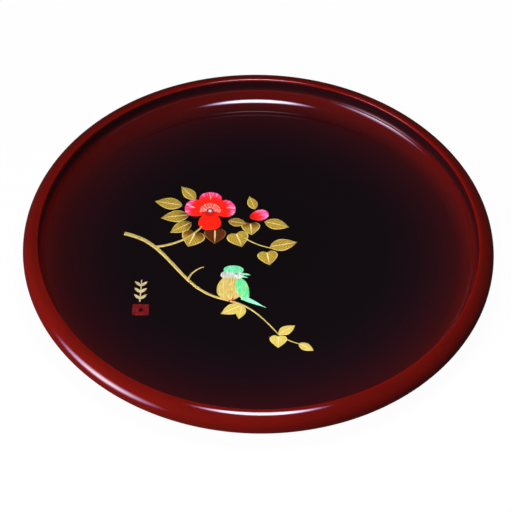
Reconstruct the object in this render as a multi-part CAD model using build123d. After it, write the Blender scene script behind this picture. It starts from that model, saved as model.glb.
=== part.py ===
"""A round lacquered serving tray with a fat rolled rim and a raised picture of a camellia branch.

Millimetres, +Z up, origin at the centre of the circle the foot stands on.  +Y is the top of the picture.
"""
import os
from math import cos, hypot, pi, radians, sin

from build123d import *

os.makedirs("parts", exist_ok=True)

# Turned body
OUTER_R = 165.0
HEIGHT = 29.7
BELLY = 9.7
LIP_ROUND = 1.1
COVE = 14.2
FLOOR_Z = 10.0
UNDER_Z = 4.8
SKIN = 0.6
BELLY_TURN = radians(70)

# Wooden core
BOARD_TOP_R = 138.0
BOARD_LOW_R = 122.0
BOARD_STEP_Z = 7.4
PLANK_SEAM = 46.0
TONGUE_WIDE = 8.0
TONGUE_THICK = 1.6
TONGUE_HALF = 110.0

# Foot ring
FOOT_OUT = 120.0
FOOT_IN = 112.0
FOOT_ROUND = 1.4

# Raised picture, drawn round its own middle, which lies a little above the tray's
PICTURE_UP = 5.1
RELIEF = 0.4
FINE = 0.2

# The picture's own rule: where the branch runs, the flower's heart and the size of its petals
BRANCH_START = (-95, 12)
BRANCH_REACH = 110
BRANCH_FALL = 90
BRANCH_WAVE = 6
FLOWER_HEART = (-35, 35)
BUD_MIDDLE = (0, 32)
PETAL_LONG = 9
PETAL_WIDE = 8
SLIM = 0.27
BROAD = 0.6

def branch_point(part):
    """A spot part of the way along the main branch, which falls evenly and waves once and a half."""
    x = BRANCH_START[0] + BRANCH_REACH * part
    y = BRANCH_START[1] - BRANCH_FALL * part + BRANCH_WAVE * sin(3 * pi * part)
    return x, y


def bowed(start, end, bow, thick, thin):
    """A tapering twig between two spots, bowed to its left, as x, y and width."""
    run = []
    for i in range(7):
        t = i / 6
        side = 4 * bow * t * (1 - t) / hypot(end[0] - start[0], end[1] - start[1])
        x = start[0] + (end[0] - start[0]) * t - (end[1] - start[1]) * side
        y = start[1] + (end[1] - start[1]) * t + (end[0] - start[0]) * side
        run.append((x, y, thick + (thin - thick) * t))
    return run


def grown(spot, turn, length, plump):
    """A leaf from its foot, direction in degrees, length, and half width as a share of the length."""
    tip_x = spot[0] + length * cos(radians(turn))
    tip_y = spot[1] + length * sin(radians(turn))
    return (*spot, tip_x, tip_y, length * plump, length * plump)


def egg(spot, long, wide, turn, taper=0.0):
    """Points round an egg: middle, two half sizes, direction in degrees, and how much its far end narrows."""
    points = []
    for i in range(12):
        a = 2 * pi * i / 12
        u = long * cos(a)
        v = wide * sin(a) * (1 - taper * cos(a))
        c, s = cos(radians(turn)), sin(radians(turn))
        points.append((spot[0] + u * c - v * s, spot[1] + u * s + v * c))
    return points


def petal(turn):
    """One petal of the open flower, pointing away from the heart."""
    reach = PETAL_LONG + 0.5
    middle = (FLOWER_HEART[0] + reach * cos(radians(turn)), FLOWER_HEART[1] + reach * sin(radians(turn)))
    return egg(middle, PETAL_LONG, PETAL_WIDE, turn, -0.25)


def by_perch(x, y):
    """A spot of the bird, measured from where it stands on the branch."""
    return PERCH[0] + x, PERCH[1] + y


PERCH = branch_point(0.7)

# Leaves with one point: foot, direction, length and plumpness
POINTED = {
    "leaf_above_flower": [grown((-46, 46), 130, 16, SLIM)],
    "leaf_far_left": [grown((-55, 40), 170, 20, SLIM)],
    "leaf_shaded_left": [grown((-50, 31), 190, 20, SLIM)],
    "leaf_low_left": [grown((-48, 24), 215, 18, SLIM)],
    "leaf_dark_right": [grown((-22, 26), 350, 14, SLIM)],
    "leaf_above_bud": [grown((-3, 38), 110, 13, SLIM)],
    "leaf_beside_bud": [grown((4, 26), 345, 18, SLIM)],
    "leaf_pointed_right": [grown((8, 2), 15, 20, SLIM)],
    "leaves_by_bird": [grown(branch_point(0.77), 210, 17, SLIM), grown(branch_point(0.77), 260, 13, SLIM)],
    "leaves_branch_end": [grown(branch_point(1), 35, 14, SLIM), grown((29, -86), 330, 12, SLIM)],
}

# Heart leaves, each from its notch
HEARTS = {
    "leaf_heart_right": grown((-6, 24), 275, 11, BROAD),
    "leaf_brown": grown((-31, 17), 270, 13, BROAD),
    "leaf_below_flower": grown((-45, 14), 250, 14, BROAD),
    "leaf_heart_middle": grown((-16, 14), 290, 13, BROAD),
    "leaf_heart_low": grown((6, -3), 280, 12, BROAD),
    "leaf_heart_end": grown((15, -80), 270, 10, BROAD),
}

# Wood strokes: x, y, width along the stroke
BRANCHES = {
    "branch_main": [(*branch_point(i / 16), 3.2 - 2.4 * i / 16) for i in range(17)],
    "twig_upper": bowed(branch_point(0.2), (-38, 24), -5, 2, 1),
    "twig_low": bowed(branch_point(0.42), (-38, -18), 2, 1.6, 0.8),
    "twig_side": bowed((-14, 14), (9, 1), -2, 0.9, 0.7),
    "twig_end": bowed(branch_point(1), (29, -86), -1, 0.8, 0.6),
}

# Rounded patches, each a closed run of points
PATCHES = {
    "petal_left": petal(165),
    "petal_top": petal(90),
    "petal_right": petal(15),
    "petal_lower": petal(270),
    "bud_petals": egg(BUD_MIDDLE, 7, 5, 20, -0.2),
    "bird_cap": egg(by_perch(1, 29), 7, 4, 0),
    "bird_face": egg(by_perch(0, 24), 8, 5, 0),
    "bird_breast": egg(by_perch(-1, 13), 12, 9, 80, 0.15),
    "bird_wing": egg(by_perch(7, 11), 11, 5, 290, 0.3),
}

# Slim wedges: base x, base y, tip x, tip y, base width
WEDGES = {
    "bird_tail": [(*by_perch(9, 3), *by_perch(24, -5), 4)],
    "bird_beak": [(*by_perch(7, 25.5), *by_perch(13, 24.5), 1.8), (*by_perch(7, 23), *by_perch(11, 22), 1.5)],
}

LEGS = [(*by_perch(1, 3), 0.9), (*by_perch(0, 0), 0.9)]
TOES = [(*by_perch(-1.4, 0), 1.1), (*by_perch(1.4, 0), 1.1)]


def ring(points_and_arcs):
    """Revolve a closed outline, drawn as radius and height, right round the upright axis."""
    outline = make_face(points_and_arcs)
    return revolve(Plane.XZ * outline, Axis.Z, 360)


def arc(centre, radius, start, end):
    """Part of a circle by its centre, radius and two angles in radians."""
    middle = (start + end) / 2
    spots = [(centre[0] + radius * cos(a), centre[1] + radius * sin(a)) for a in (start, middle, end)]
    return ThreePointArc(*spots)


def body_arcs(inset):
    """The edges of the rim, moved into the wood by inset: cove, wall, lip, belly, sweep under."""
    belly_r = OUTER_R - BELLY
    lip = arc((belly_r, HEIGHT - LIP_ROUND), LIP_ROUND - inset, pi, pi / 2)
    cove_r = belly_r - LIP_ROUND - COVE
    cove = arc((cove_r, FLOOR_Z + COVE), COVE + inset, -pi / 2, 0)
    wall = Line(cove @ 1, lip @ 0)
    belly = arc((belly_r, HEIGHT - BELLY), BELLY - inset, pi / 2, -BELLY_TURN)
    drop = HEIGHT - BELLY - BELLY * sin(BELLY_TURN) - UNDER_Z
    sweep_r = drop / (1 - cos(pi / 2 - BELLY_TURN))
    sweep_x = belly_r - (sweep_r - BELLY) * cos(BELLY_TURN)
    sweep = arc((sweep_x, UNDER_Z + sweep_r), sweep_r - inset, -BELLY_TURN, -pi / 2)
    return cove, wall, lip, belly, sweep


def strip(outer, inner):
    """Close two matching runs of edges into one outline with short end lines."""
    start = Line(outer[0] @ 0, inner[0] @ 0)
    end = Line(outer[-1] @ 1, inner[-1] @ 1)
    return [*outer, *inner, start, end]


def make_rim_hoop():
    cove, wall, lip, belly, sweep = body_arcs(SKIN)
    top = FLOOR_Z - SKIN
    low = UNDER_Z + SKIN
    steps = Polyline(
        sweep @ 1,
        (BOARD_LOW_R, low),
        (BOARD_LOW_R, BOARD_STEP_Z),
        (BOARD_TOP_R, BOARD_STEP_Z),
        (BOARD_TOP_R, top),
        cove @ 0,
    )
    return ring([cove, wall, lip, belly, sweep, steps])


def make_rim_lacquer():
    outer = body_arcs(0)[2:]
    inner = body_arcs(SKIN)[2:]
    outer_flat = Line(outer[-1] @ 1, (FOOT_OUT, UNDER_Z))
    inner_flat = Line(inner[-1] @ 1, (FOOT_OUT, UNDER_Z + SKIN))
    return ring(strip([*outer, outer_flat], [*inner, inner_flat]))


def make_inner_lacquer():
    outer = body_arcs(0)[:2]
    inner = body_arcs(SKIN)[:2]
    outer_flat = Line((0, FLOOR_Z), outer[0] @ 0)
    inner_flat = Line((0, FLOOR_Z - SKIN), inner[0] @ 0)
    return ring(strip([outer_flat, *outer], [inner_flat, *inner]))


def make_planks():
    """Three boards with grooved meeting edges, stepped at the rim to drop into the hoop."""
    low = UNDER_Z + SKIN
    top = FLOOR_Z - SKIN
    lower = Pos(0, 0, low) * extrude(Circle(BOARD_LOW_R), BOARD_STEP_Z - low)
    upper = Pos(0, 0, BOARD_STEP_Z) * extrude(Circle(BOARD_TOP_R), top - BOARD_STEP_Z)
    disc = lower + upper
    middle_z = (low + top) / 2
    tongues = []
    for side in (-1, 1):
        tongue = Pos(side * PLANK_SEAM, 0, middle_z) * Box(TONGUE_WIDE, 2 * TONGUE_HALF, TONGUE_THICK)
        disc = disc - tongue
        tongues.append(tongue)
    wide = 2 * OUTER_R
    centre = Box(2 * PLANK_SEAM, wide, 4 * HEIGHT)
    outside = Pos(PLANK_SEAM + wide / 2, 0, 0) * Box(wide, wide, 4 * HEIGHT)
    return {
        "plank_left": disc & mirror(outside, Plane.YZ),
        "plank_middle": disc & centre,
        "plank_right": disc & outside,
        "tongue_left": tongues[0],
        "tongue_right": tongues[1],
    }


def make_foot():
    """A plain ring glued under the board, rounded where it stands."""
    blank = Rectangle(FOOT_OUT - FOOT_IN, UNDER_Z + SKIN, align=(Align.MIN, Align.MIN))
    rounded = fillet(blank.vertices().sort_by(Axis.Y)[:2], FOOT_ROUND)
    return revolve(Plane.XZ * (Pos(FOOT_IN, 0) * rounded), Axis.Z, 360)


def raised(outline, base=FLOOR_Z, thick=RELIEF):
    return Pos(0, PICTURE_UP, base) * extrude(outline, thick)


def along(start, tip):
    """A placing function for points given as part of the way to the tip, and distance to the left."""
    length = hypot(tip[0] - start[0], tip[1] - start[1])
    ux = (tip[0] - start[0]) / length
    uy = (tip[1] - start[1]) / length

    def place(part_way, left):
        step = part_way * length
        return (start[0] + step * ux - left * uy, start[1] + step * uy + left * ux)

    return place


def two_sided(leaf, shape):
    """A leaf face from one half outline, widened separately to the left and to the right."""
    place = along(leaf[:2], leaf[2:4])
    left = Spline([place(t, leaf[4] * w) for t, w in shape])
    right = Spline([place(t, -leaf[5] * w) for t, w in shape])
    return make_face([left, right])


def pointed_leaf(leaf):
    shape = [(0, 0), (0.1, 0.5), (0.28, 0.9), (0.48, 1), (0.72, 0.68), (0.9, 0.24), (1, 0)]
    return two_sided(leaf, shape)


def heart_leaf(leaf):
    shape = [(0.02, 0), (-0.08, 0.36), (-0.02, 0.75), (0.2, 1), (0.48, 0.86), (0.78, 0.42), (1, 0)]
    return two_sided(leaf, shape)


def stroke(spots):
    """A tapering stroke: a disc at every spot, joined to the next by a four-sided patch."""
    shape = Sketch()
    for x, y, wide in spots[1:]:
        shape += Pos(x, y) * Circle(wide / 2)
    for (x0, y0, w0), (x1, y1, w1) in zip(spots, spots[1:]):
        place = along((x0, y0), (x1, y1))
        corners = [place(0, w0 / 2), place(0, -w0 / 2), place(1, -w1 / 2), place(1, w1 / 2)]
        shape += make_face(Polyline(*corners, close=True))
    return shape


def wedge(spot):
    """A slim three-sided feather or beak stroke."""
    place = along(spot[:2], spot[2:4])
    half = spot[4] / 2
    return make_face(Polyline(place(0, half), place(0, -half), place(1, 0), close=True))


def patch(points):
    return make_face(Spline(points, periodic=True))


def make_stamens():
    """A fan of fine filaments, each ending in a round anther, standing on the petals."""
    x, y = FLOWER_HEART
    fan = Pos(x, y) * Circle(1.9)
    count = 15
    for i in range(count):
        angle = radians(4 + 172 * i / (count - 1))
        reach = 6.4 + 1.2 * sin(angle)
        tip = (x + reach * cos(angle), y + reach * sin(angle))
        fan += make_face(Polyline(*stick_corners((x, y), tip, 0.3), close=True))
        fan += Pos(*tip) * Circle(0.42)
    return raised(fan, FLOOR_Z + RELIEF, FINE)


def stick_corners(start, tip, wide):
    place = along(start, tip)
    return [place(0, wide / 2), place(0, -wide / 2), place(1, -wide / 2), place(1, wide / 2)]


def make_mark_sprig():
    """A small upright sprig with three pairs of leaves in place of a painter's name."""
    shape = stroke([(-81.5, -51.5, 0.9), (-81.2, -42, 0.8), (-81, -32, 0.6)])
    for i in range(3):
        y = -49 + 6 * i
        for side in (-1, 1):
            leaf = (-81.3, y, -81.3 + 4.4 * side, y + 4.2, 1.1, 1.1)
            shape += pointed_leaf(leaf)
    return raised(shape)


def make_mark_tile():
    """A plain red tile with a small round opening."""
    tile = RectangleRounded(11.4, 10.2, 1.2) - Circle(1.6)
    return raised(Pos(-80.6, -58.8) * tile)


def keep_clear(solid, fronts):
    """Cut away what the pieces in front already cover, dropping specks."""
    box = solid.bounding_box()
    for front in fronts:
        other = front.bounding_box()
        apart_x = other.min.X > box.max.X or other.max.X < box.min.X
        apart_y = other.min.Y > box.max.Y or other.max.Y < box.min.Y
        if not (apart_x or apart_y):
            solid = solid - front
    pieces = [s for s in solid.solids() if s.volume > 0.25]
    return pieces[0] if len(pieces) == 1 else Compound(pieces)


def make_picture():
    """Every raised piece, front ones first, each trimmed by the ones already laid."""
    x, y = FLOWER_HEART
    legs = stroke(LEGS)
    for toe_x, toe_y, toe_r in TOES:
        legs += Pos(toe_x, toe_y) * Circle(toe_r)
    layers = [("bird_legs", [legs])]
    layers.append(("bird_beak", [wedge(w) for w in WEDGES["bird_beak"]]))
    for name in ("bird_cap", "bird_face", "bird_breast", "bird_wing"):
        layers.append((name, [patch(PATCHES[name])]))
    layers.append(("bird_tail", [wedge(w) for w in WEDGES["bird_tail"]]))
    for name in ("petal_lower", "petal_left", "petal_right", "petal_top", "bud_petals"):
        layers.append((name, [patch(PATCHES[name])]))
    layers += [(name, [heart_leaf(leaf)]) for name, leaf in HEARTS.items()]
    layers += [(name, [pointed_leaf(leaf) for leaf in leaves]) for name, leaves in POINTED.items()]
    for name, spots in BRANCHES.items():
        layers.append((name, [stroke(spots)]))
    laid = []
    nodes = {}
    for name, faces in layers:
        solids = [keep_clear(raised(face), laid) for face in faces]
        laid += solids
        nodes[name] = solids[0] if len(solids) == 1 else Compound(solids)
    top = FLOOR_Z + RELIEF
    nodes["flower_stamens"] = make_stamens() - raised(Pos(x, y) * Circle(1.3), top)
    nodes["flower_pistil"] = raised(Pos(x, y) * Circle(1.3), top, FINE)
    nodes["bird_eye"] = raised(Pos(*by_perch(3, 25)) * Circle(1.0), top, FINE)
    nodes["mark_sprig"] = make_mark_sprig()
    nodes["mark_tile"] = make_mark_tile()
    return nodes


def main():
    nodes = {
        "rim_hoop": make_rim_hoop(),
        "rim_lacquer": make_rim_lacquer(),
        "inner_lacquer": make_inner_lacquer(),
        "base_lacquer": Pos(0, 0, UNDER_Z) * extrude(Circle(FOOT_IN), SKIN),
        "foot_hoop": make_foot(),
    }
    nodes.update(make_planks())
    nodes.update(make_picture())
    for name, shape in nodes.items():
        export_step(shape, f"parts/{name}.step")


if __name__ == "__main__":
    main()
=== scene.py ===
"""Looks for a round lacquered tray: turned coats of lacquer and a raised picture in gold and colours."""

from math import atan2, cos, hypot, pi, radians, sin

import bmesh
import bpy
from mathutils import Matrix, Vector


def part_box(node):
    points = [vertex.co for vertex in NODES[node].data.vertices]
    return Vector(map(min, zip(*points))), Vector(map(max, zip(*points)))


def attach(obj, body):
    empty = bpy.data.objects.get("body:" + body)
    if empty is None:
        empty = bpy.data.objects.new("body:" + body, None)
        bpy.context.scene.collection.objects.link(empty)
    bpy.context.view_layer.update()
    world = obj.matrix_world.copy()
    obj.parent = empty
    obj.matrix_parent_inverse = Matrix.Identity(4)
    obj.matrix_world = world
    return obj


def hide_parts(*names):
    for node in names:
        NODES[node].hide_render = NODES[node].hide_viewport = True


bl_info = {
    "name": "Round Lacquered Tray",
    "version": (1, 0, 0),
    "blender": (4, 5, 0),
    "location": "3D View > Sidebar > Tray",
    "description": "Builds the lacquer coats and the raised picture of a round serving tray",
    "category": "Object",
}

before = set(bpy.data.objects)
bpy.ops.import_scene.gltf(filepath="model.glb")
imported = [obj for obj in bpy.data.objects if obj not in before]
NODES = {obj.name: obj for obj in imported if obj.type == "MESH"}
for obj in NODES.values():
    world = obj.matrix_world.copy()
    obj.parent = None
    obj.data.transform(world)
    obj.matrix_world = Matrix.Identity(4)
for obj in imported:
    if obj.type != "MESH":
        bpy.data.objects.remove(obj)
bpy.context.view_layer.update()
MM = 0.001

OUTER_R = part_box("rim_lacquer")[1][0] / MM
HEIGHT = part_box("rim_lacquer")[1][2] / MM
FLOOR_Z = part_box("bird_breast")[0][2] / MM
UNDER_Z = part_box("base_lacquer")[0][2] / MM
SKIN = (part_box("base_lacquer")[1][2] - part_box("base_lacquer")[0][2]) / MM
FOOT_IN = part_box("base_lacquer")[1][0] / MM
FOOT_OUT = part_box("foot_hoop")[1][0] / MM
BELLY = 9.7
LIP_ROUND = 1.1
COVE = 14.2
BELLY_TURN = radians(70)
FOOT_ROUND = 1.4
INNER_STEP = 60
BELLY_R = OUTER_R - BELLY

PICTURE_UP = 5.1 * MM


# ---------------------------------------------------------------- shader helpers

def new_material(name):
    material = bpy.data.materials.new(name)
    material.use_nodes = True
    return material, Shading(material.node_tree)


class Shading:
    """A short way to add and join shader nodes in one tree."""

    def __init__(self, tree):
        self.tree = tree

    def add(self, kind, _label=None, **settings):
        node = self.tree.nodes.new(kind)
        for key, value in settings.items():
            if key.startswith("in_"):
                self.feed(node.inputs[int(key[3:])], value)
            else:
                setattr(node, key, value)
        if _label:
            node.label = _label
        return node

    def feed(self, socket, value):
        if isinstance(value, bpy.types.NodeSocket):
            self.tree.links.new(value, socket)
        else:
            socket.default_value = value

    def math(self, operation, first, second=0.0, third=0.0):
        node = self.add("ShaderNodeMath", operation=operation, in_0=first, in_1=second, in_2=third)
        return node.outputs[0]

    def span(self, value, low, high, to_low=0.0, to_high=1.0, smooth=True):
        style = "SMOOTHSTEP" if smooth else "LINEAR"
        node = self.add("ShaderNodeMapRange", interpolation_type=style, in_0=value, in_1=low, in_2=high)
        node.inputs[3].default_value = to_low
        node.inputs[4].default_value = to_high
        return node.outputs[0]

    def mix(self, amount, first, second, style="MIX"):
        node = self.add("ShaderNodeMix", data_type="RGBA", blend_type=style)
        self.feed(node.inputs[0], amount)
        self.feed(node.inputs[6], first)
        self.feed(node.inputs[7], second)
        return node.outputs[2]

    def ramp(self, value, stops):
        node = self.add("ShaderNodeValToRGB", in_0=value)
        ramp = node.color_ramp
        ramp.interpolation = "LINEAR"
        while len(ramp.elements) < len(stops):
            ramp.elements.new(0.5)
        for element, (place, colour) in zip(ramp.elements, stops):
            element.position = place
            element.color = (*colour, 1)
        return node.outputs[0]

    def noise(self, vector, scale, detail=2.0, roughness=0.5):
        node = self.add("ShaderNodeTexNoise", in_2=scale, in_3=detail, in_4=roughness)
        self.feed(node.inputs[0], vector)
        return node.outputs[0]

    def place(self, vector, scale=(1, 1, 1), turn=(0, 0, 0), move=(0, 0, 0)):
        node = self.add("ShaderNodeMapping", in_0=vector)
        node.inputs[1].default_value = move
        node.inputs[2].default_value = turn
        node.inputs[3].default_value = scale
        return node.outputs[0]

    def spot(self):
        return self.add("ShaderNodeTexCoord").outputs["Object"]

    def uv(self):
        return self.add("ShaderNodeUVMap", uv_map="Flow").outputs[0]

    def parts(self, vector):
        return self.add("ShaderNodeSeparateXYZ", in_0=vector).outputs

    def surface(self, colour, roughness, height=None, depth=0.0001, **fixed):
        shader = self.tree.nodes["Principled BSDF"]
        self.feed(shader.inputs["Base Color"], colour)
        self.feed(shader.inputs["Roughness"], roughness)
        for name, value in fixed.items():
            self.feed(shader.inputs[name.replace("_", " ")], value)
        if height is not None:
            bump = self.add("ShaderNodeBump")
            bump.inputs["Strength"].default_value = 1.0
            bump.inputs["Distance"].default_value = depth
            self.feed(bump.inputs["Height"], height)
            self.feed(shader.inputs["Normal"], bump.outputs[0])
        return shader


def new_group(name, inputs, outputs):
    """A shader node group with named inputs (name, kind, default) and outputs (name, kind)."""
    group = bpy.data.node_groups.new(name, "ShaderNodeTree")
    for label, kind, default in inputs:
        socket = group.interface.new_socket(label, in_out="INPUT", socket_type=kind)
        if default is not None:
            socket.default_value = default
    for label, kind in outputs:
        group.interface.new_socket(label, in_out="OUTPUT", socket_type=kind)
    source = group.nodes.new("NodeGroupInput")
    sink = group.nodes.new("NodeGroupOutput")
    return group, Shading(group), source.outputs, sink.inputs


def use_group(shading, name, **inputs):
    node = shading.add("ShaderNodeGroup", node_tree=bpy.data.node_groups[name])
    for key, value in inputs.items():
        shading.feed(node.inputs[key.replace("_", " ")], value)
    return node.outputs


VALUE = "NodeSocketFloat"
COLOUR = "NodeSocketColor"
VECTOR = "NodeSocketVector"


def build_polish_group():
    """Hand-rubbed lacquer: slow ripples, fine rubbing lines and a faint haze where it is handled."""
    inputs = [("Vector", VECTOR, None), ("Gloss", VALUE, 0.06), ("Haze", VALUE, 0.05), ("Ripple", VALUE, 0.2)]
    group, s, source, sink = new_group("Hand polish", inputs, [("Roughness", VALUE), ("Height", VALUE)])
    cloud = s.noise(source[0], 22.0, 4.0)
    rubbed = s.noise(s.place(source[0], scale=(1, 14, 4)), 160.0, 3.0)
    haze = s.math("MULTIPLY", s.span(cloud, 0.35, 0.75), source[2])
    lines = s.math("MULTIPLY", s.span(rubbed, 0.45, 0.8), s.math("MULTIPLY", source[2], 0.5))
    rough = s.math("ADD", source[1], s.math("ADD", haze, lines))
    slow = s.math("MULTIPLY", s.noise(source[0], 14.0, 1.0), source[3])
    fine = s.math("MULTIPLY", rubbed, s.math("MULTIPLY", source[3], 0.02))
    s.feed(sink[0], rough)
    s.feed(sink[1], s.math("ADD", slow, fine))


def build_powder_group():
    """Metal powder dusted on wet lacquer: bright grains, gaps that show the ground, and a grainy surface."""
    inputs = [
        ("Vector", VECTOR, None),
        ("Powder", COLOUR, (0.6, 0.45, 0.13, 1)),
        ("Ground", COLOUR, (0.25, 0.13, 0.03, 1)),
        ("Cover", VALUE, 0.8),
        ("Grain", VALUE, 4200.0),
    ]
    outputs = [("Color", COLOUR), ("Metal", VALUE), ("Roughness", VALUE), ("Height", VALUE)]
    group, s, source, sink = new_group("Dusted metal powder", inputs, outputs)
    voronoi = s.add("ShaderNodeTexVoronoi", in_0=source[0])
    s.feed(voronoi.inputs["Scale"], source[4])
    grain = s.parts(voronoi.outputs["Color"])[0]
    cloud = s.noise(source[0], 520.0, 3.0)
    reach = s.math("ADD", source[3], s.math("MULTIPLY", s.math("SUBTRACT", cloud, 0.5), 0.5))
    mask = s.span(s.math("SUBTRACT", reach, grain), -0.12, 0.12)
    glint = s.span(grain, 0.0, 1.0, 0.86, 1.16, smooth=False)
    bright = s.add("ShaderNodeVectorMath", operation="SCALE", in_0=source[1])
    s.feed(bright.inputs["Scale"], glint)
    s.feed(sink[0], s.mix(mask, source[2], bright.outputs[0]))
    s.feed(sink[1], s.math("MULTIPLY", mask, 0.12))
    s.feed(sink[2], s.span(mask, 0, 1, 0.28, 0.46, smooth=False))
    s.feed(sink[3], s.math("MULTIPLY", mask, grain))


def build_vein_group():
    """Leaf veins along a leaf's own length and width: a raised midrib and slanting side veins."""
    inputs = [("Vector", VECTOR, None), ("Count", VALUE, 16.0), ("Slant", VALUE, 5.0), ("Rib", VALUE, 0.07)]
    outputs = [("Veins", VALUE), ("Midrib", VALUE), ("Margin", VALUE)]
    group, s, source, sink = new_group("Leaf veins", inputs, outputs)
    along, across = s.parts(source[0])[:2]
    side = s.math("ABSOLUTE", across)
    wobble = s.math("MULTIPLY", s.noise(source[0], 7.0, 2.0), 1.2)
    run = s.math("ADD", s.math("MULTIPLY", along, source[1]), wobble)
    phase = s.math("SUBTRACT", run, s.math("MULTIPLY", side, source[2]))
    wave = s.math("ABSOLUTE", s.math("SUBTRACT", s.math("FRACT", phase), 0.5))
    veins = s.math("MULTIPLY", s.span(wave, 0.26, 0.10), s.span(side, 0.98, 0.82))
    reach = s.math("MULTIPLY", s.span(along, 0.0, 0.06), s.span(along, 0.99, 0.82))
    rib = s.math("MULTIPLY", s.math("LESS_THAN", side, source[3]), reach)
    s.feed(sink[0], veins)
    s.feed(sink[1], rib)
    s.feed(sink[2], s.span(side, 0.88, 0.95))


# ---------------------------------------------------------------- materials

GOLD_EDGE = (0.88, 0.78, 0.22)
GOLD_RIB = (0.94, 0.84, 0.40, 1)


def lacquer_depth(s, spot):
    x, y, z = s.parts(spot)[:3]
    radius = s.math("POWER", s.math("ADD", s.math("MULTIPLY", x, x), s.math("MULTIPLY", y, y)), 0.5)
    return radius, z


def make_inner_lacquer():
    """Near black in the middle, red where the floor turns up into the wall, dark again under the lip."""
    material, s = new_material("Shaded lacquer")
    spot = s.spot()
    radius, z = lacquer_depth(s, spot)
    cloud = s.math("MULTIPLY", s.math("SUBTRACT", s.noise(spot, 9.0, 3.0), 0.5), 0.006)
    share = s.math("DIVIDE", s.math("ADD", radius, cloud), OUTER_R * MM)
    floor = s.ramp(share, [
        (0.00, (0.0030, 0.0022, 0.0024)),
        (0.55, (0.0044, 0.0024, 0.0032)),
        (0.68, (0.0090, 0.0026, 0.0044)),
        (0.76, (0.0160, 0.0028, 0.0046)),
        (0.82, (0.0240, 0.0030, 0.0044)),
        (0.86, (0.0330, 0.0030, 0.0036)),
        (0.90, (0.0520, 0.0030, 0.0028)),
        (0.93, (0.0680, 0.0028, 0.0022)),
    ])
    wall = s.span(z, (FLOOR_Z + 7.5) * MM, (FLOOR_Z + 12.5) * MM)
    colour = s.mix(wall, floor, (0.0120, 0.0030, 0.0040, 1))
    edge = s.span(z, (HEIGHT - 1.9) * MM, (HEIGHT - 1.2) * MM)
    colour = s.mix(edge, colour, (0.13, 0.0035, 0.0020, 1))
    polish = use_group(s, "Hand polish", Vector=spot, Gloss=0.045, Haze=0.03, Ripple=0.25)
    s.surface(colour, polish[0], polish[1], 0.00002, IOR=1.52)
    return material


def make_rim_lacquer():
    """Clear red over the roll, thin and bright along the lip; darker down the lower belly as painted shade,
    and dark under the tray.
    """
    material, s = new_material("Rim lacquer")
    spot = s.spot()
    radius, z = lacquer_depth(s, spot)
    out = s.math("SUBTRACT", radius, BELLY_R * MM)
    up = s.math("SUBTRACT", z, (HEIGHT - BELLY) * MM)
    turn = s.math("DIVIDE", s.math("ARCTAN2", up, out), pi)
    place = s.math("ADD", s.math("MULTIPLY", turn, 0.5), 0.5)
    # The stops below 0.44 darken the lower belly: painted shade.
    body = s.ramp(place, [
        (0.25, (0.010, 0.0020, 0.0022)),
        (0.36, (0.050, 0.0028, 0.0024)),
        (0.44, (0.092, 0.0032, 0.0020)),
        (0.60, (0.098, 0.0032, 0.0018)),
        (0.72, (0.096, 0.0032, 0.0016)),
        (0.76, (0.130, 0.0032, 0.0016)),
        (1.00, (0.120, 0.0032, 0.0018)),
    ])
    under = s.span(z, (UNDER_Z + 1.2) * MM, (UNDER_Z + 0.1) * MM)
    colour = s.mix(under, body, (0.008, 0.0018, 0.0018, 1))
    mottle = s.span(s.noise(spot, 30.0, 4.0), 0.3, 0.75, 0.94, 1.05)
    tone = s.add("ShaderNodeVectorMath", operation="SCALE", in_0=colour)
    s.feed(tone.inputs["Scale"], mottle)
    polish = use_group(s, "Hand polish", Vector=spot, Gloss=0.05, Haze=0.04, Ripple=0.3)
    s.surface(tone.outputs[0], polish[0], polish[1], 0.00002, IOR=1.52)
    return material


def make_black_lacquer(name, gloss):
    material, s = new_material(name)
    spot = s.spot()
    cloud = s.span(s.noise(spot, 18.0, 4.0), 0.3, 0.7)
    colour = s.mix(cloud, (0.0035, 0.0022, 0.0024, 1), (0.0075, 0.0036, 0.0036, 1))
    radius, _ = lacquer_depth(s, spot)
    rub = s.math("MULTIPLY", s.noise(spot, 240.0, 5.0), s.span(radius, 0.110, 0.121, 0.0, 0.25))
    polish = use_group(s, "Hand polish", Vector=spot, Gloss=gloss, Haze=0.12, Ripple=0.25)
    s.surface(colour, s.math("ADD", polish[0], rub), polish[1], 0.00004, IOR=1.5)
    return material


def make_wood(name, pale, dark, turn=(0, 0, 0)):
    """Planed hardwood with long grain and open pores."""
    material, s = new_material(name)
    spot = s.place(s.spot(), turn=turn)
    warp = s.noise(s.place(spot, scale=(1, 0.15, 1)), 24.0, 3.0)
    across = s.math("ADD", s.parts(spot)[0], s.math("MULTIPLY", warp, 0.03))
    bands = s.math("SINE", s.math("MULTIPLY", across, 900))
    pores = s.span(s.noise(s.place(spot, scale=(1, 0.05, 1)), 900.0, 2.0), 0.62, 0.72)
    colour = s.mix(s.span(bands, -1, 1), (*pale, 1), (*dark, 1))
    colour = s.mix(s.math("MULTIPLY", pores, 0.6), colour, (dark[0] * 0.4, dark[1] * 0.4, dark[2] * 0.4, 1))
    s.surface(colour, s.span(pores, 0, 1, 0.5, 0.75), s.math("MULTIPLY", pores, -1.0), 0.0001)
    return material


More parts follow.
